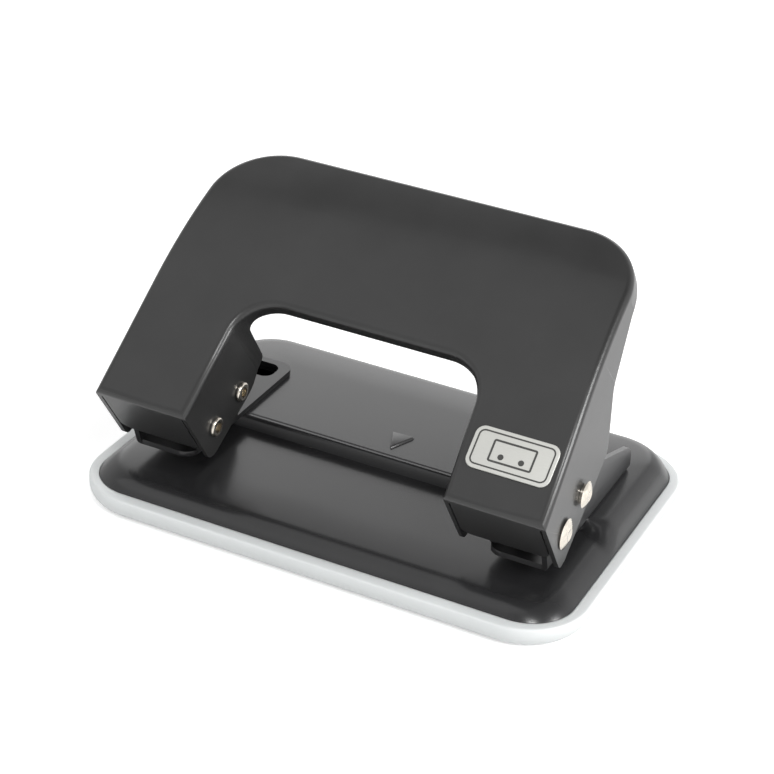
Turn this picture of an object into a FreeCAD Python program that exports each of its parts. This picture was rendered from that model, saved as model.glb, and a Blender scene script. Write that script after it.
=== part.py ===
"""Two-hole desk punch: +X right, +Y to the rear, +Z up, millimetres.

The origin is at the middle of the resting face. Paper enters from the front (-Y).
"""
import FreeCAD, Part
import os
from math import asin, atan2, cos, degrees, hypot, pi, radians, sin, tan

from FreeCAD import Vector

# ---- standard sizes -------------------------------------------------------------
hole_spacing = 80.0
hole_margin = 12.4         # paper stop to the middle of a hole
hole_diameter = 5.5
punch_x = hole_spacing / 2

# ---- base plate, a pressed pan --------------------------------------------------
base_beyond_punch = 15.57  # from the punch to the side of the plate
base_half_x = punch_x + base_beyond_punch
base_half_y = 37.69
base_corner = 10.4
base_sheet = 1.0
rim_z = 5.2                # where the pan's wall disappears into the tray
plateau_z = 11.0           # rear part, whose front edge is the paper stop
paper_gap = 2.8            # height of the slot that takes the paper
table_z = plateau_z - paper_gap        # front part, where the paper lies
stop_y = -3.65
wall_run_x = 3.97          # how far the wall leans in, at the sides
wall_run_y = 1.89
plateau_corner = base_corner - 1.4
shoulder_radius = 2.6
stop_radius = 0.5
skirt_below_rim = 1.4
mark_half_width = 3.1      # raised triangle that shows the middle of the paper
mark_behind_stop = 3.45
mark_length = 7.7
mark_height = 0.5

# ---- chip tray ------------------------------------------------------------------
ledge_x = 2.5              # rim of the tray seen around the pan
ledge_y = 2.8
tray_corner = 14.5
tray_wall = 2.0
tray_floor = 1.2
tray_edge_radius = 3.4
tray_lip_radius = 0.5
tray_gap = 0.15            # between the tray and the pan's wall
tray_seat_gap = 0.1

# ---- brackets -------------------------------------------------------------------
bracket_sheet = 1.2
bracket_inner_x = punch_x - 5.2
bracket_front_y = stop_y - 22.35
bracket_rear_y = stop_y + 24.55
bracket_corner = 3.2
bracket_bend = 1.0
inner_ear_rear_y = stop_y - 2.35
inner_ear_rise = 4.0       # height of the inner ear's rear edge
inner_ear_radius = 1.0
ear_rear_radius = 4.6
ear_rear_top_z = plateau_z + 6.9
pivot_lobe = 3.35
drive_lobe = 3.6
collar_wall = 1.1          # drawn collar that guides the punch
collar_height = 2.4
collar_root = 0.2          # how far the collar starts inside the sheet
sight_hole_start = stop_y + 16.25
sight_hole_inner_x = punch_x - 2.7
sight_hole_outer_x = punch_x + 5.6
sight_hole_length = 6.4
sight_hole_corner = 2.4
fixing_x = punch_x + 4.0
fixing_ys = (stop_y + 5.65, stop_y + 12.65)
fixing_shank = 2.5
fixing_head = 4.4
fixing_head_height = 0.7
fixing_dome = 0.6          # share of the head's height that is rounded

# ---- handle, one folded sheet ---------------------------------------------------
# Depths are measured down from the flat front part of the sloping plate.
handle_sheet = 1.0
slope = 39.8               # degrees, at rest
fold_before_pivot = 12.0   # front fold of the sloping plate, from the pivot
fold_above_pivot = 9.0
slope_length = 66.3
crown_start = 26.9         # from here to the rear the plate is curved
crown_radius = 101.5
half_width = punch_x + 11.3
side_taper = 0.042         # narrowing of each side per mm along the slope
front_lean = 4.7           # degrees the front faces are opened beyond square
front_overhang = 0.86      # front fold ahead of the zero of the distances along the slope
leg_width = 21.95
leg_taper = 0.07           # widening of each leg per mm along the slope
top_corner = 15.2
cutout_top = 28.4
cutout_corner = 9.0
fold_radius = 1.6
inner_fold_radius = 0.7
front_depth = 15.6
front_corner = 3.0
lip_depth = 4.4
cutout_lip_depth = 4.0
outer_tip_depth = 20.8
outer_heel_depth = 25.7
outer_heel_s = 26.4
outer_heel_radius = 2.4
outer_notch = (36.1, 14.3, 6.0)        # along the slope, depth and radius
outer_shoulder = (51.0, 9.8, 12.0)     # where the skirt's edge becomes level
inner_tip_depth = 20.4
inner_belly_s = 16.2
inner_belly_radius = 8.0
inner_heel_depth = 21.6
inner_heel = (22.8, 18.6, 2.6)
inner_notch_s = 23.8
inner_notch_radius = 3.0
tip_radius = 2.2
seam_width = 0.35
seam_top = 2.2
blank_ahead = 12.0         # uncut plate in front of the fold

# ---- pivot and drive ------------------------------------------------------------
pivot_z = plateau_z + 10.0
drive_radius = 10.4        # from the pivot to the drive rivet
drive_angle = 23.8         # degrees above level, at rest
press_angle = 36.0         # degrees of the handle's travel
pivot_shank = 3.4
pivot_head = 6.6
pivot_head_height = 0.9
pivot_stand_off = 0.25     # shoulder under the head
drive_shank = 3.0
drive_head = 5.8
drive_head_height = 0.9
drive_stand_off = 0.8
head_shoulder = 0.75       # share of the head's diameter
clinch_diameter = 4.4
clinch_height = 0.7
clinch_rounding = 0.7      # share of the clinched ring's height
clinch_bore = 2.4
clinch_bore_depth = 2.4
dish_radius = 4.5          # shallow hollow in each head
dish_depth = 0.35
running_gap = 0.05
slot_gap = 0.15
ear_side_gap = 1.75        # outer ear to the handle's side skirt, at the front
bush_diameter = 4.6
spacer_diameter = 4.8
side_play = 0.25

# ---- punches --------------------------------------------------------------------
punch_rest_z = plateau_z + 0.2
punch_above_drive = 3.2
punch_chamfer = 0.4
punch_slot_gap = 0.1
punch_slot_side_gap = 0.05
punch_hollow_radius = 6.0
punch_hollow_depth = 0.6

# ---- return springs -------------------------------------------------------------
spring_wire = 0.8
spring_coil_radius = 2.85
spring_whole_turns = 3
spring_width = 3.1         # along the pivot, between the middles of the end coils
spring_leg_drop = 6.6      # from the pivot down to the hook in the inner ear
spring_leg_reach = 11.0
spring_hook_gap = 0.15
spring_arm_s = 17.0        # where the long arm meets the sloping plate

# ---- badge ----------------------------------------------------------------------
badge_width = 18.0
badge_height = 9.2
badge_corner = 2.0
badge_thickness = 0.4
badge_start_s = 6.6

# ---- sizes worked out from those above ------------------------------------------
plateau_half_x = base_half_x - wall_run_x
plateau_half_y = base_half_y - wall_run_y
punch_y = stop_y - hole_margin
drive_swing = drive_radius * (1 - cos(radians(drive_angle)))    # fore and aft
pivot_y = punch_y - drive_radius + drive_swing / 2
drive_y = pivot_y + drive_radius * cos(radians(drive_angle))
drive_z = pivot_z + drive_radius * sin(radians(drive_angle))
fold_y = pivot_y - fold_before_pivot
fold_z = pivot_z + fold_above_pivot
ear_outer_x = half_width - handle_sheet - ear_side_gap
ear_inner_face_x = ear_outer_x - bracket_sheet
bracket_top_z = plateau_z + bracket_sheet
inner_edge_x = half_width - leg_width
guide_bore = hole_diameter + 2 * running_gap
lean = tan(radians(front_lean))
spare = 40.0               # length of a cutting body beyond what it cuts


def on_top(a, b, level):
    return Vector(a, b, level)


def on_side(a, b, level):
    return Vector(level, a, b)


def on_front(a, b, level):
    return Vector(a, level, b)


def outline_face(points, arcs, place, level):
    """Face from pairs of points joined by lines, with an arc between the pairs."""
    edges = []
    for start, end in points:
        if hypot(end[0] - start[0], end[1] - start[1]) > 1e-6:
            edges.append(Part.makeLine(place(*start, level), place(*end, level)))
    for start, middle, end in arcs:
        ends = (place(*p, level) for p in (start, middle, end))
        edges.append(Part.Arc(*ends).toShape())
    return Part.Face(Part.Wire(Part.__sortEdges__(edges)))


def rounded_prism(corners, place, start, length):
    """Prism over a polygon whose corners (a, b, radius) are rounded."""
    cuts = []
    arcs = []
    for i, (a, b, radius) in enumerate(corners):
        before, after = corners[i - 1], corners[(i + 1) % len(corners)]
        to_before = Vector(before[0] - a, before[1] - b, 0).normalize()
        to_after = Vector(after[0] - a, after[1] - b, 0).normalize()
        if radius == 0:
            cuts.append(((a, b), (a, b)))
            continue
        half = to_before.getAngle(to_after) / 2
        back = radius / tan(half)
        middle = to_before + to_after
        middle.normalize()
        corner = Vector(a, b, 0)
        first = corner + to_before * back
        last = corner + to_after * back
        top = corner + middle * (radius / sin(half) - radius)
        arcs.append(((first.x, first.y), (top.x, top.y), (last.x, last.y)))
        cuts.append(((first.x, first.y), (last.x, last.y)))
    lines = [(cuts[i - 1][1], cuts[i][0]) for i in range(len(cuts))]
    face = outline_face(lines, arcs, place, start)
    return face.extrude(place(0, 0, length) - place(0, 0, 0))


def belt_prism(circles, place, start, length):
    """Prism over the outline of a belt around circles (a, b, radius), anticlockwise."""
    normals = []
    for i, (a, b, radius) in enumerate(circles):
        a2, b2, radius2 = circles[(i + 1) % len(circles)]
        reach = hypot(a2 - a, b2 - b)
        turn = atan2(b2 - b, a2 - a) - pi / 2 + asin((radius - radius2) / reach)
        normals.append((cos(turn), sin(turn)))
    lines = []
    arcs = []
    for i, (a, b, radius) in enumerate(circles):
        n_in, n_out = normals[i - 1], normals[i]
        a2, b2, radius2 = circles[(i + 1) % len(circles)]
        lines.append(((a + radius * n_out[0], b + radius * n_out[1]),
                      (a2 + radius2 * n_out[0], b2 + radius2 * n_out[1])))
        if radius == 0:
            continue
        middle = Vector(n_in[0] + n_out[0], n_in[1] + n_out[1], 0).normalize()
        arcs.append(((a + radius * n_in[0], b + radius * n_in[1]),
                     (a + radius * middle.x, b + radius * middle.y),
                     (a + radius * n_out[0], b + radius * n_out[1])))
    face = outline_face(lines, arcs, place, start)
    return face.extrude(place(0, 0, length) - place(0, 0, 0))


def rectangle(half_x, half_y, corner):
    return [(-half_x, -half_y, corner), (half_x, -half_y, corner),
            (half_x, half_y, corner), (-half_x, half_y, corner)]


def block(x0, x1, y0, y1, z0, z1):
    return Part.makeBox(x1 - x0, y1 - y0, z1 - z0, Vector(x0, y0, z0))


def rod_x(diameter, x0, x1, y, z):
    return Part.makeCylinder(diameter / 2, x1 - x0, Vector(x0, y, z), Vector(1, 0, 0))


def rod_z(diameter, x, y, z0, z1):
    return Part.makeCylinder(diameter / 2, z1 - z0, Vector(x, y, z0))


def tube_x(outer, bore, x0, x1, y, z):
    return rod_x(outer, x0, x1, y, z).cut(rod_x(bore, x0 - 1, x1 + 1, y, z))


def bounds_of(edge):
    return edge.BoundBox


def both_sides(shape):
    return [shape, shape.mirror(Vector(0, 0, 0), Vector(1, 0, 0))]


def cut_all(shape, tools):
    for tool in tools:
        shape = shape.cut(tool)
    return shape


# ---- base plate -----------------------------------------------------------------

def pan_body(inset):
    """Solid outer form of the pan, or its hollow when inset by the sheet."""
    low_z = rim_z - skirt_below_rim - (spare if inset else 0)
    skirt = rounded_prism(rectangle(base_half_x - inset, base_half_y - inset, base_corner - inset),
                          on_top, low_z, rim_z - low_z)
    rim = rounded_prism(rectangle(base_half_x - inset, base_half_y - inset, base_corner - inset),
                        on_top, rim_z, 1).Faces
    top = rounded_prism(rectangle(plateau_half_x - inset, plateau_half_y - inset,
                                  plateau_corner - inset), on_top, plateau_z - inset, 1).Faces
    wires = [min(faces, key=lambda f: f.CenterOfMass.z).OuterWire for faces in (rim, top)]
    body = skirt.fuse(Part.makeLoft(wires, True, True)).removeSplitter()
    front = block(-base_half_x, base_half_x, -base_half_y - spare, stop_y + inset,
                  table_z - inset, plateau_z + 1)
    body = body.cut(front)
    edges = [e for e in body.Edges if bounds_of(e).ZMin > table_z - inset - 0.01
             and not on_stop(e, inset)]
    body = body.makeFillet(shoulder_radius - inset, edges)
    if not inset:
        lips = [e for e in body.Edges if on_stop(e, inset) and bounds_of(e).XLength > spare]
        body = body.makeFillet(stop_radius, lips)
    return body


def on_stop(edge, inset):
    box = bounds_of(edge)
    return abs(box.YMin - stop_y - inset) < 0.01 and abs(box.YMax - stop_y - inset) < 0.01


def center_mark():
    """Low triangle that points to the front, with sloping flanks."""
    front_y = stop_y + mark_behind_stop
    rear_y = front_y + mark_length

    def outline(inward):
        left = Vector(-mark_half_width + inward, rear_y - inward, 0)
        right = Vector(mark_half_width - inward, rear_y - inward, 0)
        return Part.makePolygon([left, Vector(0, front_y + 2 * inward, 0), right, left])

    low = outline(0)
    low.translate(Vector(0, 0, plateau_z - mark_height / 2))
    high = outline(mark_height)
    high.translate(Vector(0, 0, plateau_z + mark_height))
    return Part.makeLoft([low, high], True, True)


def sight_hole(low_z, high_z):
    """Rounded hole through bracket and plateau, on the right side."""
    rear = sight_hole_start + sight_hole_length
    corners = [(sight_hole_inner_x, sight_hole_start, sight_hole_corner),
               (sight_hole_outer_x, sight_hole_start, sight_hole_corner),
               (sight_hole_outer_x, rear, sight_hole_corner),
               (sight_hole_inner_x, rear, sight_hole_corner)]
    return rounded_prism(corners, on_top, low_z, high_z - low_z)


def base_plate():
    body = pan_body(0).cut(pan_body(base_sheet)).fuse(center_mark())
    holes = [rod_z(guide_bore, punch_x, punch_y, rim_z, plateau_z),
             sight_hole(rim_z, plateau_z + 1)]
    holes += [rod_z(fixing_shank, fixing_x, y, rim_z, plateau_z + 1) for y in fixing_ys]
    return cut_all(body, [side for hole in holes for side in both_sides(hole)])


# ---- chip tray ------------------------------------------------------------------

def chip_tray():
    outer_x = base_half_x + tray_gap + ledge_x
    outer_y = base_half_y + tray_gap + ledge_y
    body = rounded_prism(rectangle(outer_x, outer_y, tray_corner), on_top, 0, rim_z)
    low = [e for e in body.Edges if bounds_of(e).ZMax < 0.01]
    body = body.makeFillet(tray_edge_radius, low)
    high = [e for e in body.Edges if bounds_of(e).ZMin > rim_z - 0.01]
    body = body.makeFillet(tray_lip_radius, high)
    seat_z = rim_z - skirt_below_rim - tray_seat_gap
    seat = rounded_prism(rectangle(base_half_x + tray_gap, base_half_y + tray_gap,
                                   base_corner + tray_gap), on_top, seat_z, spare)
    pocket = rounded_prism(rectangle(base_half_x - tray_wall, base_half_y - tray_wall,
                                     base_corner - tray_wall), on_top, tray_floor, spare)
    return body.cut(seat).cut(pocket)


# ---- brackets (right side) ------------------------------------------------------

def drive_slot():
    """Curved slot around the pivot that the drive rivet swings through."""
    radius = drive_shank / 2 + slot_gap
    pivot = Vector(-spare, pivot_y, pivot_z)
    ends = [radians(drive_angle), radians(drive_angle - press_angle)]
    far = [pivot + Vector(0, cos(turn), sin(turn)) * 2 * drive_radius for turn in ends]
    wedge = Part.Face(Part.makePolygon([pivot] + far + [pivot])).extrude(Vector(4 * spare, 0, 0))
    slot = tube_x(2 * (drive_radius + radius), 2 * (drive_radius - radius), -spare, 3 * spare,
                  pivot_y, pivot_z).common(wedge)
    for turn in ends:
        slot = slot.fuse(rod_x(2 * radius, -spare, 3 * spare, pivot_y + drive_radius * cos(turn),
                               pivot_z + drive_radius * sin(turn)))
    return slot


def ear(x0, front_y, rear_circles):
    circles = [(front_y, plateau_z, 0)] + rear_circles
    circles += [(drive_y, drive_z, drive_lobe), (pivot_y, pivot_z, pivot_lobe)]
    return belt_prism(circles, on_side, x0, bracket_sheet)


def bracket():
    rear_center_y = bracket_rear_y - ear_rear_radius
    outer_ear = ear(ear_inner_face_x, bracket_front_y,
                    [(bracket_rear_y, plateau_z, 0),
                     (rear_center_y, ear_rear_top_z - ear_rear_radius, ear_rear_radius)])
    inner_ear = ear(bracket_inner_x, bracket_front_y + bracket_corner,
                    [(inner_ear_rear_y, plateau_z, 0),
                     (inner_ear_rear_y - inner_ear_radius, plateau_z + inner_ear_rise,
                      inner_ear_radius)])
    plate = rounded_prism([(bracket_inner_x, bracket_front_y, bracket_corner),
                           (ear_outer_x, bracket_front_y, 0),
                           (ear_outer_x, bracket_rear_y, 0),
                           (bracket_inner_x, bracket_rear_y, bracket_corner)],
                          on_top, plateau_z, bracket_sheet)
    body = plate.fuse([outer_ear, inner_ear]).removeSplitter()
    bend = [e for e in body.Edges if bounds_of(e).ZMax < plateau_z + 0.01
            and abs(bounds_of(e).XMin - ear_outer_x) < 0.01 and bounds_of(e).XLength < 0.01]
    body = body.makeFillet(bracket_bend, bend)
    body = body.fuse(rod_z(guide_bore + 2 * collar_wall, punch_x, punch_y, plateau_z + collar_root,
                           bracket_top_z + collar_height))
    cuts = [rod_z(guide_bore, punch_x, punch_y, 0, plateau_z + spare),
            rod_x(pivot_shank + 2 * running_gap, 0, 2 * spare, pivot_y, pivot_z),
            drive_slot(), sight_hole(0, plateau_z + spare),
            rod_x(spring_wire + 2 * spring_hook_gap, bracket_inner_x - 1,
                  bracket_inner_x + bracket_sheet + 1, spring_hook_y(), spring_hook_z())]
    cuts += [rod_z(fixing_shank, fixing_x, y, 0, plateau_z + spare) for y in fixing_ys]
    return cut_all(body, cuts).removeSplitter()


def bracket_rivets():
    rivets = []
    under_z = plateau_z - base_sheet
    for y in fixing_ys:
        shank = rod_z(fixing_shank, fixing_x, y, under_z, bracket_top_z)
        head = rod_z(fixing_head, fixing_x, y, bracket_top_z, bracket_top_z + fixing_head_height)
        rim = [e for e in head.Edges if bounds_of(e).ZMin > bracket_top_z + 0.01]
        head = head.makeFillet(fixing_head_height * fixing_dome, rim)
        foot = rod_z(fixing_head, fixing_x, y, under_z - fixing_head_height, under_z)
        rivets.append(shank.fuse([head, foot]).removeSplitter())
    return Part.makeCompound(rivets)


# ---- handle ---------------------------------------------------------------------
# Built flat: x to the right, y along the slope from the front fold, z out of the plate.

def half_width_at(s):
    return half_width - side_taper * s


def inner_edge_at(s):
    return inner_edge_x - leg_taper * s


def tilted(shape):
    shape.rotate(Vector(0, 0, 0), Vector(1, 0, 0), slope)
    shape.translate(Vector(0, fold_y, fold_z))
    return shape


def along_slope(y, z):
    """Distance along the slope of a point given in the punch's frame."""
    return (y - fold_y) * cos(radians(slope)) + (z - fold_z) * sin(radians(slope))


def under_crown(drop):
    """Everything beneath the plate's upper surface, when that is lowered by drop."""
    rear_s = slope_length + spare
    turn = asin((rear_s - crown_start) / crown_radius)
    places = [(crown_start, 0)]
    places += [(crown_start + crown_radius * sin(t), crown_radius * (cos(t) - 1))
               for t in (turn / 2, turn)]
    start, middle, end = [Vector(-2 * spare, s, z - drop) for s, z in places]
    front = Vector(-2 * spare, -2 * spare, -drop)
    deep_front = Vector(-2 * spare, -2 * spare, -3 * spare)
    deep_rear = Vector(-2 * spare, rear_s, -3 * spare)
    edges = [Part.makeLine(front, start), Part.Arc(start, middle, end).toShape(),
             Part.makeLine(end, deep_rear), Part.makeLine(deep_rear, deep_front),
             Part.makeLine(deep_front, front)]
    return Part.Face(Part.Wire(edges)).extrude(Vector(4 * spare, 0, 0))


def on_crown(edge, drop):
    """Whether the whole edge lies on the plate's upper surface and borders it."""
    ends = [edge.valueAt(t) for t in (edge.FirstParameter, edge.LastParameter,
                                      (edge.FirstParameter + edge.LastParameter) / 2)]
    for point in ends:
        past = max(point.y - crown_start, 0)
        if abs(crown_radius - hypot(past, point.z + drop + crown_radius)) > 0.01:
            return False
    return any(abs(point.y - crown_start) > 0.01 for point in ends)


def front_s(depth):
    """Where the leaning front faces are, at a depth below the plate."""
    return -front_overhang - depth * lean


def front_space(inset):
    """What lies in front of the front faces."""
    behind = inset / cos(radians(front_lean))
    high, low = front_s(-spare) + behind, front_s(2 * spare) + behind
    places = [(high, spare), (high - spare, spare), (low - spare, -2 * spare), (low, -2 * spare)]
    corners = [Vector(-2 * spare, s, z) for s, z in places]
    return Part.Face(Part.makePolygon(corners + corners[:1])).extrude(Vector(4 * spare, 0, 0))


def handle_body(inset):
    """Outer form of the handle, or its hollow when inset by the sheet."""
    depth = outer_heel_depth + handle_sheet + (spare if inset else 0)
    front_x = half_width_at(-blank_ahead) - inset
    rear_s = slope_length - inset
    rear_x = half_width_at(rear_s) - inset
    outer = rounded_prism([(-front_x, -blank_ahead, 0), (front_x, -blank_ahead, 0),
                           (rear_x, rear_s, top_corner - inset),
                           (-rear_x, rear_s, top_corner - inset)], on_top, -depth, depth)
    notch_s = cutout_top + inset
    notch = [(inner_edge_at(s) + inset, s) for s in (-spare, notch_s)]
    middle = rounded_prism([(-notch[0][0], notch[0][1], 0), (notch[0][0], notch[0][1], 0),
                            (notch[1][0], notch[1][1], cutout_corner + inset),
                            (-notch[1][0], notch[1][1], cutout_corner + inset)],
                           on_top, -depth - 1, depth + 2)
    body = outer.common(under_crown(inset)).cut(middle).cut(front_space(inset))
    rim = [e for e in body.Edges if on_crown(e, inset)]
    return body.makeFillet(inner_fold_radius if inset else fold_radius, rim)


def below(depth_points, x0, x1):
    """What lies beneath the lower edge of a skirt, over one stretch of x."""
    ends = [(depth_points[0][0], -2 * spare, 0), (depth_points[-1][0], -2 * spare, 0)]
    corners = ends[:1] + [(s, -d, r) for s, d, r in depth_points] + ends[1:]
    return rounded_prism(corners, on_side, x0, x1 - x0)


def handle_trim():
    """Bodies that shorten the folded skirts to their lower edges (right side)."""
    rear = slope_length + handle_sheet
    ahead = -spare / 2
    outer_edge = [(ahead, outer_tip_depth, 0), (front_s(outer_tip_depth), outer_tip_depth, 0),
                  (outer_heel_s, outer_heel_depth, outer_heel_radius), outer_notch,
                  outer_shoulder, (rear, outer_shoulder[1], 0)]
    inner_edge = [(ahead, inner_tip_depth, 0), (front_s(inner_tip_depth), inner_tip_depth, 0),
                  (inner_belly_s, inner_heel_depth, inner_belly_radius), inner_heel,
                  (inner_notch_s, cutout_lip_depth, inner_notch_radius),
                  (cutout_top + 2 * handle_sheet, cutout_lip_depth, 0)]
    outer_x = half_width_at(slope_length) - 4 * handle_sheet
    inner_x = inner_edge_x + 2.5 * handle_sheet
    rear_start = outer_notch[0] + outer_notch[2]
    lip = under_crown(lip_depth)
    cuts = [below(outer_edge, outer_x, half_width + 2 * handle_sheet).common(lip),
            below(inner_edge, -1, inner_x),
            block(-1, outer_x, rear_start, rear, -2 * spare, 0).common(lip)]
    left, right = inner_edge_x + handle_sheet, half_width - handle_sheet
    keep = rounded_prism([(left, spare, 0), (right, spare, 0), (right, -front_depth, front_corner),
                          (left, -front_depth, front_corner)], on_front, ahead, spare)
    under_z = -front_depth + 2 * front_corner
    cuts.append(block(left, right, ahead, 6 * handle_sheet, -2 * spare, under_z).cut(keep))
    for x in (left, right - seam_width):
        cuts.append(block(x, x + seam_width, ahead, 2 * handle_sheet, -2 * spare, -seam_top))
    return cuts


def tip_rounding(depth, x0, x1):
    """Corner taken off a skirt's front tip so that it ends in an arc."""
    s = front_s(depth)
    corner = block(x0, x1, s - 1, s + tip_radius, -depth - 1, -depth + tip_radius)
    back_s = s + tip_radius * (1 + lean)
    keep = rod_x(2 * tip_radius, x0, x1, back_s, -depth + tip_radius)
    return corner.cut(keep).common(block(x0, x1, s - 1, back_s, -depth - 1, -depth + tip_radius))


def handle():
    shell = handle_body(0).cut(handle_body(handle_sheet))
    tools = handle_trim()
    tools.append(tip_rounding(outer_tip_depth, half_width - 2 * handle_sheet,
                              half_width + 2 * handle_sheet))
    tools.append(tip_rounding(inner_tip_depth, inner_edge_x - 2 * handle_sheet,
                              inner_edge_x + 2 * handle_sheet))
    shell = cut_all(shell, [side for tool in tools for side in both_sides(tool)])
    shell = tilted(shell)
    holes = [rod_x(pivot_shank, 0, 2 * spare, pivot_y, pivot_z),
             rod_x(drive_shank, 0, 2 * spare, drive_y, drive_z)]
    return cut_all(shell, [side for hole in holes for side in both_sides(hole)])


def badge():
    middle_x = (inner_edge_at(badge_start_s) + half_width_at(badge_start_s)) / 2
    left, right = middle_x - badge_width / 2, middle_x + badge_width / 2
    end_s = badge_start_s + badge_height
    plate = rounded_prism([(left, badge_start_s, badge_corner), (right, badge_start_s, badge_corner),
                           (right, end_s, badge_corner), (left, end_s, badge_corner)],
                          on_top, 0, badge_thickness)
    return tilted(plate)


# ---- rivets, bushes, spacers, punches, springs (right side) ---------------------

def rivet(y, z, shank, head, head_height, stand_off):
    """Semi-tubular rivet along x: domed head outside, clinched ring inside."""
    s = along_slope(y, z)
    seat_x = half_width_at(s - head / 2)
    end_x = inner_edge_at(s + clinch_diameter / 2)
    dome_radius = ((head / 2) ** 2 + head_height ** 2) / (2 * head_height)
    body = rod_x(shank, end_x, seat_x, y, z)
    shoulder = rod_x(head * head_shoulder, seat_x, seat_x + stand_off, y, z)
    seat_x += stand_off
    dome = Part.makeSphere(dome_radius, Vector(seat_x + head_height - dome_radius, y, z))
    dome = dome.common(rod_x(head, seat_x, seat_x + head_height + 1, y, z))
    dish = Part.makeSphere(dish_radius, Vector(seat_x + head_height + dish_radius - dish_depth, y, z))
    ring = rod_x(clinch_diameter, end_x - clinch_height, end_x, y, z)
    rim = [e for e in ring.Edges if bounds_of(e).XMax < end_x - clinch_height / 2]
    ring = ring.makeFillet(clinch_height * clinch_rounding, rim)
    bore = rod_x(clinch_bore, end_x - clinch_height - 1, end_x - clinch_height + clinch_bore_depth,
                 y, z)
    return body.fuse([shoulder, dome, ring]).cut(bore).cut(dish).removeSplitter()


def pivot_rivet():
    return rivet(pivot_y, pivot_z, pivot_shank, pivot_head, pivot_head_height, pivot_stand_off)


def drive_rivet():
    return rivet(drive_y, drive_z, drive_shank, drive_head, drive_head_height, drive_stand_off)


def inner_skirt_face_x(y, z, reach):
    """Face of the inner skirt that looks into the leg, nearest the ear within a reach."""
    return inner_edge_at(along_slope(y, z) - reach) + handle_sheet


def pivot_bush():
    start = inner_skirt_face_x(pivot_y, pivot_z, bush_diameter / 2)
    return tube_x(bush_diameter, pivot_shank, start, bracket_inner_x - side_play, pivot_y, pivot_z)


def drive_spacers():
    half_punch = hole_diameter / 2
    near = tube_x(spacer_diameter, drive_shank, bracket_inner_x + bracket_sheet + side_play,
                  punch_x - half_punch - side_play, drive_y, drive_z)
    far = tube_x(spacer_diameter, drive_shank, punch_x + half_punch + side_play,
                 ear_inner_face_x - side_play, drive_y, drive_z)
    return Part.makeCompound([near, far])


def punch():
    body = rod_z(hole_diameter, punch_x, punch_y, punch_rest_z, drive_z + punch_above_drive)
    top = [e for e in body.Edges if bounds_of(e).ZMin > drive_z]
    body = body.makeChamfer(punch_chamfer, top)
    half_high = drive_shank / 2 + punch_slot_gap
    half_wide = drive_shank / 2 + drive_swing / 2 + punch_slot_side_gap
    window = block(0, 2 * spare, punch_y - half_wide, punch_y + half_wide,
                   drive_z - half_high, drive_z + half_high)
    hollow = Part.makeCylinder(punch_hollow_radius, 2 * spare,
                               Vector(punch_x - spare, punch_y,
                                      punch_rest_z + punch_hollow_depth - punch_hollow_radius),
                               Vector(1, 0, 0))
    return body.cut(window).cut(hollow)


def spring_hook_y():
    return pivot_y + spring_leg_reach


def spring_hook_z():
    return pivot_z - spring_leg_drop


def wire_run(start, end):
    line = end - start
    return Part.makeCylinder(spring_wire / 2, line.Length, start, line)


def joint_ball(place):
    return Part.makeSphere(spring_wire / 2, place)


def return_spring():
    """Torsion spring around the bush: hooked in the inner ear, arm under the plate."""
    end_x = bracket_inner_x - side_play - spring_wire / 2
    start_x = end_x - spring_width
    slope_turn = radians(slope)
    under = handle_sheet + running_gap + spring_wire / 2
    arm_end = Vector(start_x, fold_y + spring_arm_s * cos(slope_turn) + under * sin(slope_turn),
                     fold_z + spring_arm_s * sin(slope_turn) - under * cos(slope_turn))
    arm_reach = hypot(arm_end.y - pivot_y, arm_end.z - pivot_z)
    arm_turn = atan2(arm_end.z - pivot_z, arm_end.y - pivot_y) + pi / 2 - asin(
        spring_coil_radius / arm_reach)
    hook = Vector(end_x, spring_hook_y(), spring_hook_z())
    hook_reach = hypot(hook.y - pivot_y, hook.z - pivot_z)
    hook_turn = atan2(hook.z - pivot_z, hook.y - pivot_y) - pi / 2 + asin(
        spring_coil_radius / hook_reach)
    sweep = 2 * pi * spring_whole_turns + (hook_turn - arm_turn) % (2 * pi)
    pitch = (end_x - start_x) / (sweep / (2 * pi))
    helix = Part.makeHelix(pitch, end_x - start_x, spring_coil_radius)
    profile = Part.Wire(Part.makeCircle(spring_wire / 2, Vector(spring_coil_radius, 0, 0),
                                        Vector(0, 1, 0)))
    coil = Part.Wire(helix).makePipeShell([profile], True, True)
    coil.rotate(Vector(0, 0, 0), Vector(0, 0, 1), degrees(arm_turn))
    placed = FreeCAD.Placement(Vector(start_x, pivot_y, pivot_z),
                               FreeCAD.Rotation(Vector(0, 1, 0), Vector(0, 0, 1), Vector(1, 0, 0)))
    coil.transformShape(placed.toMatrix())
    arm_start = Vector(start_x, pivot_y + spring_coil_radius * cos(arm_turn),
                       pivot_z + spring_coil_radius * sin(arm_turn))
    hook_start = Vector(end_x, pivot_y + spring_coil_radius * cos(hook_turn),
                        pivot_z + spring_coil_radius * sin(hook_turn))
    hook_end = hook + Vector(bracket_sheet + side_play + spring_wire, 0, 0)
    parts = [wire_run(arm_start, arm_end), wire_run(hook_start, hook), wire_run(hook, hook_end),
             joint_ball(arm_start), joint_ball(hook_start), joint_ball(hook)]
    return coil.fuse(parts)


def main():
    nodes = {"base_plate": base_plate(), "chip_tray": chip_tray(), "handle": handle(),
             "badge": badge()}
    right_side = {"bracket": bracket, "bracket_rivets": bracket_rivets, "punch": punch,
                  "pivot_rivet": pivot_rivet, "drive_rivet": drive_rivet,
                  "pivot_bush": pivot_bush, "drive_spacers": drive_spacers,
                  "return_spring": return_spring}
    for name, make in right_side.items():
        nodes["right_" + name], nodes["left_" + name] = both_sides(make())
    os.makedirs("parts", exist_ok=True)
    for name, shape in nodes.items():
        shape.exportStep("parts/" + name + ".step")


main()
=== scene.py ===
"""Looks of a two-hole desk punch: painted pressed steel, nickel rivets, a frosted chip tray."""

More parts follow.
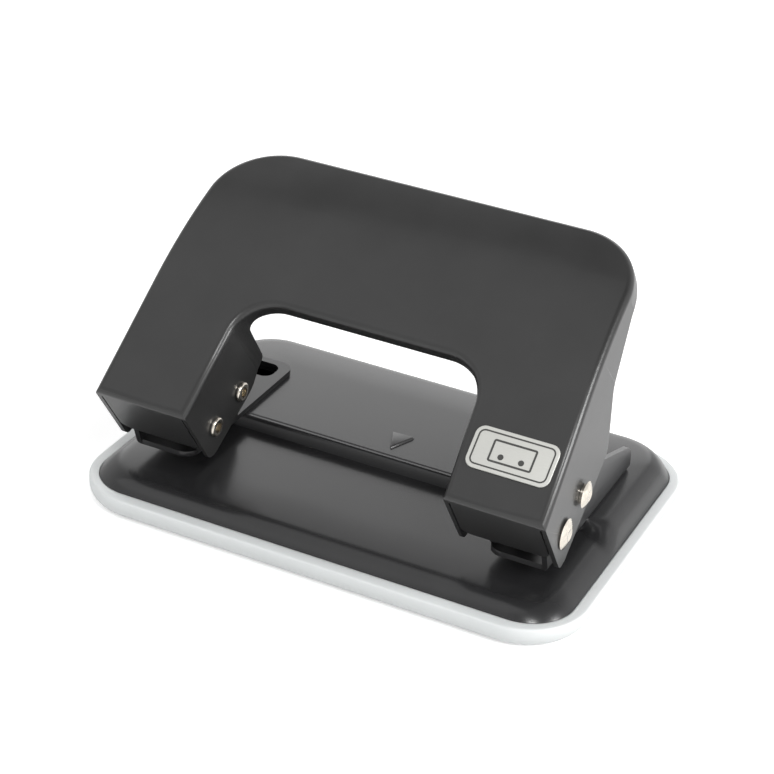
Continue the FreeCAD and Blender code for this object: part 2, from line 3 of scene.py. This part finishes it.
from math import asin, atan2, cos, hypot, pi, radians, sin

import bpy
from mathutils import Matrix, Vector


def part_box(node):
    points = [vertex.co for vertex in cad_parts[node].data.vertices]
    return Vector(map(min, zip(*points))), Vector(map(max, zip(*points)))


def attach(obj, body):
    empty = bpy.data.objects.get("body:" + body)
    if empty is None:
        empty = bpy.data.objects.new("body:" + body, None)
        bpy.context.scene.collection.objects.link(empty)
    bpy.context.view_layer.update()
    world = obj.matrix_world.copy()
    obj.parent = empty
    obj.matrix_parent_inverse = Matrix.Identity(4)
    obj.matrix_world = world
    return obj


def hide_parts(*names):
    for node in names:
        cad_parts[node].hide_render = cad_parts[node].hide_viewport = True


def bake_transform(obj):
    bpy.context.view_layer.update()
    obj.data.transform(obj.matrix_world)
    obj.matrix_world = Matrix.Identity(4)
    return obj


MM = 0.001


# ---- camera ----------------------------------------------------------------------

def place_camera(azimuth, elevation, roll, distance, lens, aim):
    """Camera that looks at aim from azimuth and elevation, turned about its own axis."""
    a, e, r = radians(azimuth), radians(elevation), radians(roll)
    back = Vector((sin(a) * cos(e), -cos(a) * cos(e), sin(e)))
    right = Vector((cos(a), sin(a), 0))
    up = back.cross(right)
    turned_right = right * cos(r) + up * sin(r)
    turned_up = up * cos(r) - right * sin(r)
    data = bpy.data.cameras.new("camera")
    data.lens = lens
    data.sensor_width = 36
    camera = bpy.data.objects.new("camera", data)
    bpy.context.scene.collection.objects.link(camera)
    axes = Matrix((turned_right, turned_up, back)).transposed().to_4x4()
    camera.matrix_world = Matrix.Translation(aim + back * distance) @ axes
    bpy.context.scene.camera = camera


place_camera(azimuth=24.493, elevation=29.192, roll=3.63, distance=0.46462, lens=99.81,
             aim=Vector((-0.001486, 0, 0.026452)))
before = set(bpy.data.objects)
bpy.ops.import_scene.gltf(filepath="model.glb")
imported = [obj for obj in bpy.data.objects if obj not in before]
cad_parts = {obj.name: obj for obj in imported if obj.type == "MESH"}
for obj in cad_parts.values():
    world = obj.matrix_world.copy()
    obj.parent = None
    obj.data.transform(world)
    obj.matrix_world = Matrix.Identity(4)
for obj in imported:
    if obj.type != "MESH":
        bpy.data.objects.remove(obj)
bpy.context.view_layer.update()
bpy.ops.object.select_all(action="DESELECT")


# ---- materials -------------------------------------------------------------------

def color(text):
    """sRGB hex to linear red, green, blue and alpha."""
    parts = [int(text[i:i + 2], 16) / 255 for i in (1, 3, 5)]
    return [c / 12.92 if c <= 0.04045 else ((c + 0.055) / 1.055) ** 2.4 for c in parts] + [1]


def add_node(tree, kind, settings=(), links=()):
    """Adds a node with its settings and the links into its inputs."""
    node = tree.nodes.new("ShaderNode" + kind)
    for name, value in dict(settings).items():
        if isinstance(name, str) and hasattr(node, name):
            setattr(node, name, value)
        else:
            node.inputs[name].default_value = value
    for name, source in dict(links).items():
        tree.links.new(source, node.inputs[name])
    return node


def new_material(name, settings):
    material = bpy.data.materials.new(name)
    material.use_nodes = True
    tree = material.node_tree
    shader = tree.nodes["Principled BSDF"]
    for key, value in settings.items():
        shader.inputs[key].default_value = value
    place = add_node(tree, "TexCoord").outputs["Object"]
    return material, tree, shader, place


def tint_by(tree, shader, source, tone, dark, light=1.0, span=(0, 1)):
    """Colours the surface from a darker to a lighter share of one tone."""
    ramp = add_node(tree, "ValToRGB", {}, {"Fac": source})
    for element, share, position in zip(ramp.color_ramp.elements, (dark, light), span):
        element.position = position
        element.color = [c * share for c in color(tone)[:3]] + [1]
    tree.links.new(ramp.outputs["Color"], shader.inputs["Base Color"])


def gloss_by(tree, shader, source, smoothest, roughest):
    """Varies the roughness between two values."""
    gloss = add_node(tree, "MapRange", {"To Min": smoothest, "To Max": roughest},
                     {"Value": source})
    tree.links.new(gloss.outputs["Result"], shader.inputs["Roughness"])


def relief_by(tree, shader, source, strength, depth_mm):
    """Gives the surface a fine relief."""
    bump = add_node(tree, "Bump", {"Strength": strength, "Distance": depth_mm * MM},
                    {"Height": source})
    tree.links.new(bump.outputs["Normal"], shader.inputs["Normal"])


def noise(tree, place, size_mm, detail):
    """Noise whose features are size_mm wide."""
    node = add_node(tree, "TexNoise", {"Scale": 1 / (size_mm * MM), "Detail": detail},
                    {"Vector": place})
    return node.outputs["Fac"]


def sprayed_paint(name, tone, gloss_roughness, grain_mm):
    """Sprayed and baked enamel on steel: an even dark coat, a faint orange peel and dust nibs."""
    material, tree, shader, place = new_material(name, {
        "Metallic": 0.0, "IOR": 1.5, "Coat Weight": 0.12, "Coat Roughness": 0.14})
    peel = noise(tree, place, grain_mm, 2.0)
    cloud = noise(tree, place, 14, 3.0)
    tint_by(tree, shader, cloud, tone, 0.86, 1.12, span=(0.3, 0.7))
    gloss_by(tree, shader, cloud, gloss_roughness - 0.04, gloss_roughness + 0.04)
    relief_by(tree, shader, peel, 0.10, 0.04)
    return material


def plated_metal(name, tone, roughness):
    """Nickel-plated rivet steel: warm, bright, slightly clouded from barrel plating."""
    material, tree, shader, place = new_material(name, {"Metallic": 1.0})
    cloud = noise(tree, place, 0.9, 4.0)
    tint_by(tree, shader, cloud, tone, 0.8, span=(0.25, 0.6))
    gloss_by(tree, shader, cloud, roughness * 0.7, roughness * 1.4)
    relief_by(tree, shader, cloud, 0.15, 0.03)
    return material


def printed_foil(name, tone, roughness):
    """Anodised aluminium foil: brushed along its length, half hidden by a clear matt lacquer."""
    material, tree, shader, place = new_material(name, {
        "Metallic": 0.45, "Coat Weight": 0.2, "Coat Roughness": 0.3, "Roughness": roughness})
    along = add_node(tree, "Mapping", {"Scale": (0.08, 1, 1)}, {"Vector": place})
    lines = noise(tree, along.outputs["Vector"], 0.12, 3.0)
    tint_by(tree, shader, lines, tone, 0.88)
    relief_by(tree, shader, lines, 0.15, 0.01)
    return material


def drawn_steel(name, tone, roughness, line_mm):
    """Bare drawn or ground steel: fine lines along its length, greyer than plating."""
    material, tree, shader, place = new_material(name, {"Metallic": 1.0})
    along = add_node(tree, "Mapping", {"Scale": (1, 1, 0.06)}, {"Vector": place})
    lines = noise(tree, along.outputs["Vector"], line_mm, 3.0)
    tint_by(tree, shader, lines, tone, 0.72)
    gloss_by(tree, shader, lines, roughness - 0.07, roughness + 0.1)
    relief_by(tree, shader, lines, 0.2, 0.01)
    return material


def frosted_plastic(name, tone):
    """Injection-moulded polyethylene: milky, with painted shade that darkens it towards the bottom
    and a fine spark-eroded grain.
    """
    material, tree, shader, place = new_material(name, {
        "IOR": 1.51, "Roughness": 0.38, "Subsurface Weight": 0.35,
        "Subsurface Radius": (1.0, 1.0, 1.0), "Subsurface Scale": 2.2 * MM,
        "Transmission Weight": 0.12})
    flow = noise(tree, place, 22, 2.0)
    # Painted shade: the colour darkens towards the bottom of the tray wall and lightens towards
    # the rim, mixed with a faint random flow tone.
    height = add_node(tree, "SeparateXYZ", {}, {"Vector": place}).outputs["Z"]
    rise = add_node(tree, "MapRange", {"From Max": 5.2 * MM, "To Max": 0.9}, {"Value": height})
    flow_and_painted_shade = add_node(tree, "Math", {"operation": "MULTIPLY_ADD", 1: 0.1},
                   {0: flow, 2: rise.outputs["Result"]})
    tint_by(tree, shader, flow_and_painted_shade.outputs["Value"], tone, 0.70)
    relief_by(tree, shader, noise(tree, place, 0.25, 2.0), 0.12, 0.02)
    return material


handle_enamel = sprayed_paint("satin_black_enamel", "#282828", 0.31, 0.55)
base_enamel = sprayed_paint("semi_gloss_graphite_enamel", "#262627", 0.25, 0.55)
bracket_enamel = sprayed_paint("satin_black_bracket_enamel", "#262627", 0.33, 0.5)
nickel = plated_metal("nickel_plated_steel", "#e9e2d6", 0.2)
tool_steel = drawn_steel("ground_tool_steel", "#b4b4b6", 0.3, 0.12)
spring_steel = drawn_steel("drawn_spring_wire", "#8d8c8a", 0.34, 0.1)
turned_steel = drawn_steel("turned_free_cutting_steel", "#a09e9a", 0.36, 0.1)
tray_plastic = frosted_plastic("frosted_polyethylene", "#e2e5e5")
badge_foil = printed_foil("satin_anodised_badge_foil", "#cfcfca", 0.45)
print_enamel = sprayed_paint("badge_printing_ink", "#3a3a38", 0.4, 0.3)


def set_material(piece, material):
    piece.data.materials.clear()
    piece.data.materials.append(material)


# ---- helpers for modelling -------------------------------------------------------

def start_piece(name, add, **settings):
    bpy.ops.object.select_all(action="DESELECT")
    add(**settings)
    piece = bpy.context.object
    piece.name = name
    piece.data.name = name
    return piece


def finish_piece(piece, body, material, angle=35):
    """Puts the place into the mesh, smooths, and ties the piece to its body and finish."""
    bpy.ops.object.select_all(action="DESELECT")
    piece.select_set(True)
    bpy.context.view_layer.objects.active = piece
    bpy.ops.object.transform_apply(location=True, rotation=True, scale=True)
    bpy.ops.object.shade_smooth_by_angle(angle=radians(angle))
    set_material(piece, material)
    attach(piece, body)


def apply_modifier(piece, kind, **settings):
    bpy.context.view_layer.objects.active = piece
    modifier = piece.modifiers.new(kind.lower(), kind)
    for key, value in settings.items():
        setattr(modifier, key, value)
    bpy.ops.object.modifier_apply(modifier=modifier.name)


def edit(piece, mode="FACE"):
    bpy.context.view_layer.objects.active = piece
    bpy.ops.object.mode_set(mode="EDIT")
    bpy.ops.mesh.select_mode(type=mode)


def leave():
    bpy.ops.object.mode_set(mode="OBJECT")


# ---- base shell ------------------------------------------------------------------

base_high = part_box("base_plate")[1]
bracket_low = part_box("right_bracket")[0]
punch_low, punch_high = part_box("right_punch")
punch = (punch_low + punch_high) / 2
PAPER_GAP = 2.8 * MM
HOLE_MARGIN = 12.4 * MM
PLATEAU = bracket_low.z
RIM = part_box("chip_tray")[1].z
TABLE = PLATEAU - PAPER_GAP
STOP = punch.y + HOLE_MARGIN
STOP_SOFTNESS = 0.25 * MM        # half the run of the paper stop's step
FADE_WIDTH = 9 * MM              # from the pan's side, where the step becomes gentle
FADE_RUN = 5.2 * MM              # half the run of the step at the very side
CORNER = 10.4 * MM
SHEET = 1.0 * MM
SKIRT_BELOW_RIM = 1.4 * MM
WALL_RUN = 4.4 * MM
CROWN_WIDTH = 15 * MM
CROWN_SHARE = 0.16               # of the rise, the rest is the wall's
EDGE_ROUNDING = 0.18 * MM
DIE_RADIUS = 2.8 * MM
CUT_DEPTH = 30 * MM
WINDOW_FROM_PUNCH = (-2.7 * MM, 5.6 * MM)
WINDOW_BEHIND_STOP = 16.25 * MM
WINDOW_LENGTH = 6.4 * MM
WINDOW_CORNER = 2.4 * MM
MARK_WIDTH, MARK_LENGTH, MARK_HEIGHT = 6.2 * MM, 7.7 * MM, 1.0 * MM
MARK_BEHIND_STOP = 3.45 * MM
HANDLE_SLOPE = radians(39.8)
FRONT_FOLD = Vector((0, -38 * MM, 30 * MM))


def crown_height(inward):
    """Height above the rim, from 0 to 1, of the pressed pan at a distance from its edge."""
    wall = 1 - (1 - min(inward / WALL_RUN, 1)) ** 2.2
    crown = 1 - (1 - min(inward / CROWN_WIDTH, 1)) ** 2
    return (1 - CROWN_SHARE) * wall + CROWN_SHARE * crown


def pressed_pan():
    """Rounded sheet drawn over a die: steep wall, soft shoulder, long shallow crown."""
    pan = start_piece("base_shell", bpy.ops.mesh.primitive_plane_add, size=2,
                      location=(0, 0, RIM))
    pan.scale = (base_high.x, base_high.y, 1)
    bpy.ops.object.transform_apply(location=True, rotation=False, scale=True)
    edit(pan, "VERT")
    bpy.ops.mesh.select_all(action="SELECT")
    bpy.ops.mesh.bevel(affect="VERTICES", offset=CORNER, segments=20)
    bpy.ops.mesh.select_mode(type="FACE")
    bpy.ops.mesh.select_all(action="SELECT")
    rings = 22
    reached = 0
    for ring in range(1, rings + 1):
        inward = CROWN_WIDTH * (ring / rings) ** 1.5
        rise = crown_height(inward) - crown_height(reached)
        shrink = ((base_high.x - inward) / (base_high.x - reached),
                  (base_high.y - inward) / (base_high.y - reached), 1)
        bpy.ops.mesh.extrude_region_move(
            TRANSFORM_OT_translate={"value": (0, 0, rise * (TABLE - RIM))})
        bpy.ops.transform.resize(value=shrink, center_override=(0, 0, 0))
        reached = inward
    leave()
    return pan


def raise_plateau(pan):
    """Lifts all behind the paper stop by a second press; the step fades towards the sides."""
    steps = [STOP + way * reach * MM for reach in (0.25, 0.8, 1.5, 2.3, 3.2, 4.2, 5.2)
             for way in (-1, 1)]
    edit(pan)
    for y in steps:
        bpy.ops.mesh.select_all(action="SELECT")
        bpy.ops.mesh.bisect(plane_co=(0, y, 0), plane_no=(0, 1, 0))
    leave()
    raised = pan.vertex_groups.new(name="raised")
    for vertex in pan.data.vertices:
        inward = base_high.x - abs(vertex.co.x)
        soft = max(STOP_SOFTNESS, (1 - inward / FADE_WIDTH) * FADE_RUN)
        share = min(max(0.5 + (vertex.co.y - STOP) / (2 * soft), 0), 1)
        share = share * share * (3 - 2 * share)
        height = (vertex.co.z - RIM) / (TABLE - RIM)
        raised.add([vertex.index], share * height, "REPLACE")
    apply_modifier(pan, "DISPLACE", direction="Z", mid_level=0.0, strength=PLATEAU - TABLE,
                   vertex_group="raised")


def round_stop(pan):
    """Rolls the upper edge of the paper stop."""
    edit(pan, "EDGE")
    bpy.ops.mesh.select_all(action="DESELECT")
    leave()
    for edge in pan.data.edges:
        ends = [pan.data.vertices[i].co for i in edge.vertices]
        on_line = all(abs(co.y - STOP - STOP_SOFTNESS) < 0.02 * MM for co in ends)
        edge.select = on_line and max(abs(co.x) for co in ends) < base_high.x - FADE_WIDTH
    bpy.ops.object.mode_set(mode="EDIT")
    bpy.ops.mesh.bevel(offset=0.6 * MM, segments=4)
    leave()


def punch_holes(pan):
    """Die holes under the punches, and the windows under the brackets' ends."""
    cutters = []
    inner, outer = WINDOW_FROM_PUNCH
    for side in (-1, 1):
        die = start_piece("die_cutter", bpy.ops.mesh.primitive_cylinder_add, vertices=48,
                          radius=DIE_RADIUS, depth=CUT_DEPTH,
                          location=(side * punch.x, punch.y, PLATEAU))
        window = start_piece("window_cutter", bpy.ops.mesh.primitive_cube_add, size=1,
                             location=(side * (punch.x + (inner + outer) / 2),
                                       STOP + WINDOW_BEHIND_STOP + WINDOW_LENGTH / 2, PLATEAU))
        window.scale = (outer - inner, WINDOW_LENGTH, CUT_DEPTH)
        bpy.ops.object.transform_apply(location=False, rotation=False, scale=True)
        apply_modifier(window, "BEVEL", width=WINDOW_CORNER, segments=8, limit_method="ANGLE")
        cutters += [die, window]
    for cutter in cutters:
        apply_modifier(pan, "BOOLEAN", object=cutter, operation="DIFFERENCE", solver="EXACT")
        bpy.data.objects.remove(cutter)


def center_mark():
    """Small raised triangle that shows the middle of the paper and points to the front."""
    mark = start_piece("center_mark", bpy.ops.mesh.primitive_cone_add, vertices=3,
                       radius1=1, radius2=0.8, depth=1)
    low = [min(v.co[i] for v in mark.data.vertices) for i in range(3)]
    high = [max(v.co[i] for v in mark.data.vertices) for i in range(3)]
    mark.scale = (MARK_WIDTH / (high[0] - low[0]), -MARK_LENGTH / (high[1] - low[1]), MARK_HEIGHT)
    bpy.ops.object.transform_apply(location=False, rotation=False, scale=True)
    top = max(v.co.y for v in mark.data.vertices)
    mark.location = (0, STOP + MARK_BEHIND_STOP + MARK_LENGTH - top, PLATEAU)
    edit(mark)
    bpy.ops.mesh.select_all(action="SELECT")
    bpy.ops.mesh.normals_make_consistent(inside=False)
    leave()
    apply_modifier(mark, "BEVEL", width=EDGE_ROUNDING, segments=3, limit_method="ANGLE")
    finish_piece(mark, "base", base_enamel)


def base_shell():
    """The painted pan with its plateau, holes and centre mark."""
    pan = pressed_pan()
    raise_plateau(pan)
    round_stop(pan)
    edit(pan, "EDGE")
    bpy.ops.mesh.select_all(action="DESELECT")
    bpy.ops.mesh.select_non_manifold()
    bpy.ops.mesh.extrude_region_move(TRANSFORM_OT_translate={"value": (0, 0, -SKIRT_BELOW_RIM)})
    bpy.ops.mesh.select_all(action="SELECT")
    bpy.ops.mesh.normals_make_consistent(inside=False)
    leave()
    apply_modifier(pan, "SOLIDIFY", thickness=SHEET, offset=-1)
    punch_holes(pan)
    finish_piece(pan, "base", base_enamel, angle=28)
    center_mark()
    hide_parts("base_plate")


# ---- return springs --------------------------------------------------------------

SPRING_WIRE = 0.8 * MM
COIL_RADIUS = 2.85 * MM
WHOLE_TURNS = 3
COIL_POINTS = 110
ARM_ALONG_PLATE = 17 * MM        # from the front fold to the arm's end
ARM_UNDER_PLATE = 1.45 * MM
HOOK_BEHIND_PIVOT = 11 * MM
HOOK_BELOW_PIVOT = 6.6 * MM
HOOK_LENGTH = 2.2 * MM


def return_spring(side):
    """Round wire wound around the bush: hooked into the inner ear, its arm under the plate."""
    name = ("right" if side > 0 else "left") + "_return_spring"
    bush_low, bush_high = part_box("right_pivot_bush")
    pivot = (bush_low + bush_high) / 2
    start_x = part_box("right_return_spring")[0].x + SPRING_WIRE / 2
    end_x = bush_high.x - SPRING_WIRE / 2
    along = Vector((0, cos(HANDLE_SLOPE), sin(HANDLE_SLOPE)))
    under = Vector((0, sin(HANDLE_SLOPE), -cos(HANDLE_SLOPE)))
    arm_end = FRONT_FOLD + along * ARM_ALONG_PLATE + under * ARM_UNDER_PLATE
    arm_end.x = start_x
    hook = Vector((end_x, pivot.y + HOOK_BEHIND_PIVOT, pivot.z - HOOK_BELOW_PIVOT))

    def tangent(point, way):
        """Turn at which a straight wire from the point meets the coil."""
        offset = point - pivot
        reach = hypot(offset.y, offset.z)
        return atan2(offset.z, offset.y) + way * (pi / 2 - asin(COIL_RADIUS / reach))

    arm_turn, hook_turn = tangent(arm_end, 1), tangent(hook, -1)
    sweep = WHOLE_TURNS * 2 * pi + (hook_turn - arm_turn) % (2 * pi)
    points = [arm_end]
    for i in range(COIL_POINTS + 1):
        share = i / COIL_POINTS
        turn = arm_turn + sweep * share
        points.append(Vector((start_x + (end_x - start_x) * share,
                              pivot.y + COIL_RADIUS * cos(turn),
                              pivot.z + COIL_RADIUS * sin(turn))))
    points += [hook, hook + Vector((HOOK_LENGTH, 0, 0))]
    bpy.ops.object.select_all(action="DESELECT")
    curve = bpy.data.curves.new(name + "_wire", "CURVE")
    curve.dimensions = "3D"
    curve.bevel_depth = SPRING_WIRE / 2
    curve.bevel_resolution = 5
    curve.use_fill_caps = True
    spline = curve.splines.new("POLY")
    spline.points.add(len(points) - 1)
    for point, target in zip(points, spline.points):
        target.co = (side * point.x, point.y, point.z, 1)
    piece = bpy.data.objects.new(name + "_wire", curve)
    bpy.context.scene.collection.objects.link(piece)
    piece.select_set(True)
    bpy.context.view_layer.objects.active = piece
    bpy.ops.object.convert(target="MESH")
    piece = bpy.context.object
    bpy.ops.object.shade_smooth_by_angle(angle=radians(40))
    set_material(piece, spring_steel)
    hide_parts(name)
    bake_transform(piece)


# ---- badge -----------------------------------------------------------------------

BADGE_HEIGHT = 9.2 * MM
BADGE_SHEET = 0.4 * MM
BADGE_CORNER = 2 * MM
PRINT_THICKNESS = 0.04 * MM
PRINT_LIFT = BADGE_SHEET / 2 + 0.01 * MM
BORDER_INSET = 0.75 * MM
PICTOGRAM_WIDTH, PICTOGRAM_HEIGHT = 9.4 * MM, 4.9 * MM
PICTOGRAM_HOLE_X, PICTOGRAM_HOLE_Y = 2.2 * MM, -1.0 * MM
PICTOGRAM_HOLE_RADIUS = 0.62 * MM


def print_ring(name, size_x, size_y, corner, line):
    """Printed outline of a rounded rectangle, around the middle of the badge."""
    ring = start_piece(name, bpy.ops.mesh.primitive_plane_add, size=1)
    ring.scale = (size_x, size_y, 1)
    bpy.ops.object.transform_apply(scale=True)
    edit(ring, "VERT")
    bpy.ops.mesh.select_all(action="SELECT")
    bpy.ops.mesh.bevel(affect="VERTICES", offset=corner, segments=8)
    bpy.ops.mesh.select_mode(type="FACE")
    bpy.ops.mesh.select_all(action="SELECT")
    bpy.ops.mesh.inset(thickness=line)
    bpy.ops.mesh.delete(type="FACE")
    bpy.ops.mesh.select_all(action="SELECT")
    leave()
    apply_modifier(ring, "SOLIDIFY", thickness=PRINT_THICKNESS, offset=0)
    ring.location = (0, 0, PRINT_LIFT)
    return ring


def print_dot(name, x):
    """Printed dot that stands for a punched hole."""
    return start_piece(name, bpy.ops.mesh.primitive_cylinder_add, vertices=32,
                       radius=PICTOGRAM_HOLE_RADIUS, depth=PRINT_THICKNESS,
                       location=(x, PICTOGRAM_HOLE_Y, PRINT_LIFT))


def badge_pieces():
    """Foil plate with an inset printed border and a pictogram of a punched sheet."""
    low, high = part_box("badge")
    middle = (low + high) / 2
    width = high.x - low.x
    plate = start_piece("badge_foil", bpy.ops.mesh.primitive_cube_add, size=1)
    plate.scale = (width, BADGE_HEIGHT, BADGE_SHEET)
    bpy.ops.object.transform_apply(scale=True)
    edit(plate, "EDGE")
    bpy.ops.mesh.select_all(action="DESELECT")
    leave()
    for edge in plate.data.edges:
        a, b = (plate.data.vertices[i].co for i in edge.vertices)
        edge.select = abs(a.z - b.z) > BADGE_SHEET / 2
    bpy.ops.object.mode_set(mode="EDIT")
    bpy.ops.mesh.bevel(offset=BADGE_CORNER, segments=10)
    leave()
    apply_modifier(plate, "BEVEL", width=0.12 * MM, segments=3, limit_method="ANGLE")
    pieces = [plate,
              print_ring("badge_border", width - 2 * BORDER_INSET, BADGE_HEIGHT - 2 * BORDER_INSET,
                         corner=1.35 * MM, line=0.32 * MM),
              print_ring("badge_sheet", PICTOGRAM_WIDTH, PICTOGRAM_HEIGHT,
                         corner=0.5 * MM, line=0.42 * MM),
              print_dot("badge_hole_left", -PICTOGRAM_HOLE_X),
              print_dot("badge_hole_right", PICTOGRAM_HOLE_X)]
    turn = Matrix.Translation(middle) @ Matrix.Rotation(HANDLE_SLOPE, 4, "X")
    for piece in pieces:
        piece.matrix_world = turn @ piece.matrix_world
        foil = piece is plate
        finish_piece(piece, "handle", badge_foil if foil else print_enamel)
    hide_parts("badge")


# ---- carried-over parts ----------------------------------------------------------

def dress_cad_parts():
    """Gives the parts kept from the frame their finishes, and the sheets their eased edges."""
    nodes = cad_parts
    finishes = {"handle": handle_enamel, "chip_tray": tray_plastic}
    for side in ("left_", "right_"):
        finishes[side + "bracket"] = bracket_enamel
        finishes[side + "bracket_rivets"] = bracket_enamel
        finishes[side + "punch"] = tool_steel
        finishes[side + "pivot_rivet"] = nickel
        finishes[side + "drive_rivet"] = nickel
        finishes[side + "pivot_bush"] = turned_steel
        finishes[side + "drive_spacers"] = turned_steel
    for name, material in finishes.items():
        set_material(nodes[name], material)
    for name in ("handle", "left_bracket", "right_bracket"):
        weld = nodes[name].modifiers.new("weld", "WELD")
        weld.merge_threshold = 0.002 * MM
        bevel = nodes[name].modifiers.new("bevel", "BEVEL")
        bevel.width = EDGE_ROUNDING
        bevel.segments = 2
        bevel.limit_method = "ANGLE"
        bevel.angle_limit = radians(50)
        bevel.harden_normals = True


# ---- stage and light -------------------------------------------------------------

def area_light(name, place, aim, size, power):
    data = bpy.data.lights.new(name, "AREA")
    data.shape = "RECTANGLE"
    data.size, data.size_y = size
    data.energy = power
    light = bpy.data.objects.new(name, data)
    light.location = place
    light.rotation_euler = (Vector(aim) - Vector(place)).to_track_quat("-Z", "Y").to_euler()
    bpy.context.scene.collection.objects.link(light)


def stage():
    """White sweep, pale dome that darkens towards the top, and four lamps."""
    floor = start_piece("floor", bpy.ops.mesh.primitive_plane_add, size=8,
                        location=(0, 0, -0.02 * MM))
    material, tree, shader, _ = new_material("white_sweep", {
        "Base Color": color("#f6f6f6"), "Roughness": 0.85,
        "Emission Color": color("#ffffff")})
    seen = add_node(tree, "LightPath").outputs["Is Camera Ray"]
    dim = add_node(tree, "MapRange", {"To Min": 0.1, "To Max": 0.42}, {"Value": seen})
    tree.links.new(dim.outputs["Result"], shader.inputs["Emission Strength"])
    set_material(floor, material)
    world = bpy.data.worlds.new("studio")
    bpy.context.scene.world = world
    world.use_nodes = True
    tree = world.node_tree
    way = add_node(tree, "TexCoord").outputs["Generated"]
    height = add_node(tree, "SeparateXYZ", {}, {"Vector": way}).outputs["Z"]
    dome = add_node(tree, "ValToRGB", {}, {"Fac": height})
    dome.color_ramp.elements[0].position = 0.5
    dome.color_ramp.elements[0].color = (1, 1, 1, 1)
    dome.color_ramp.elements[1].position = 0.85
    dome.color_ramp.elements[1].color = (0.30, 0.30, 0.30, 1)
    tree.links.new(dome.outputs["Color"], tree.nodes["Background"].inputs["Color"])
    tree.nodes["Background"].inputs["Strength"].default_value = 0.85
    area_light("key", (0.75, -0.02, 0.40), (0, 0, 0.03), (0.25, 0.4), 4.5)
    area_light("corner", (0.36, -0.40, 0.58), (0.02, -0.02, 0), (0.14, 0.14), 1.6)
    area_light("back_panel", (-0.47, 1.04, 0.37), (0, 0, 0.01), (1.0, 0.6), 2.2)
    area_light("top_panel", (-0.32, -0.22, 0.92), (0, 0, 0.04), (0.9, 0.9), 1.75)
    bpy.context.scene.view_settings.view_transform = "Standard"


base_shell()
for side in (-1, 1):
    return_spring(side)
badge_pieces()
dress_cad_parts()
stage()
